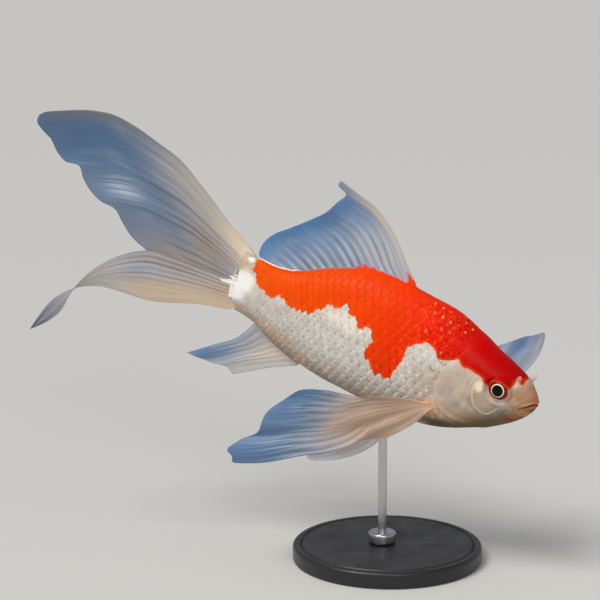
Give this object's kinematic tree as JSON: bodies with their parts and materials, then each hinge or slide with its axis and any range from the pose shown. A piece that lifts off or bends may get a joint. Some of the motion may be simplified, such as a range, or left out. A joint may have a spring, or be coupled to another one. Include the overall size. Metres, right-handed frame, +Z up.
{
  "type": "goldfish model",
  "caption": "Life-size still model of a red and white comet goldfish swimming head down, long tail trailing, on a round base with a slim rod to its belly.",
  "frame": {"origin": "centre of the stand base's underside, on the floor", "axes": "+X along the fish's length towards its snout, +Z up, +Y to the fish's left"},
  "size_m": [0.1913, 0.0791, 0.1598],
  "materials": {
    "red_white_skin": "wet-looking painted skin and scales, red over white",
    "fin_membrane": "thin cloudy membrane between pale rays",
    "eye": "polished, black pupil in a gold ring",
    "stand_base": "satin black",
    "stand_metal": "satin"
  },
  "bodies": {
    "root": {"head": "red_white_skin", "lower_jaw": "red_white_skin", "gill_cover_right": "red_white_skin", "gill_cover_left": "red_white_skin", "trunk": "red_white_skin", "tail_stalk": "red_white_skin", "eye_right": "eye", "eye_left": "eye", "nostril_flap_right": "red_white_skin", "nostril_flap_left": "red_white_skin", "fin_dorsal": "fin_membrane", "fin_tail_upper": "fin_membrane", "fin_tail_lower": "fin_membrane", "fin_anal": "fin_membrane", "fin_pelvic_right": "fin_membrane", "fin_pelvic_left": "fin_membrane", "fin_pectoral_right": "fin_membrane", "fin_pectoral_left": "fin_membrane", "stand_base": "stand_base", "stand_collar": "stand_metal", "stand_rod": "stand_metal"}
  },
  "joints": []
}
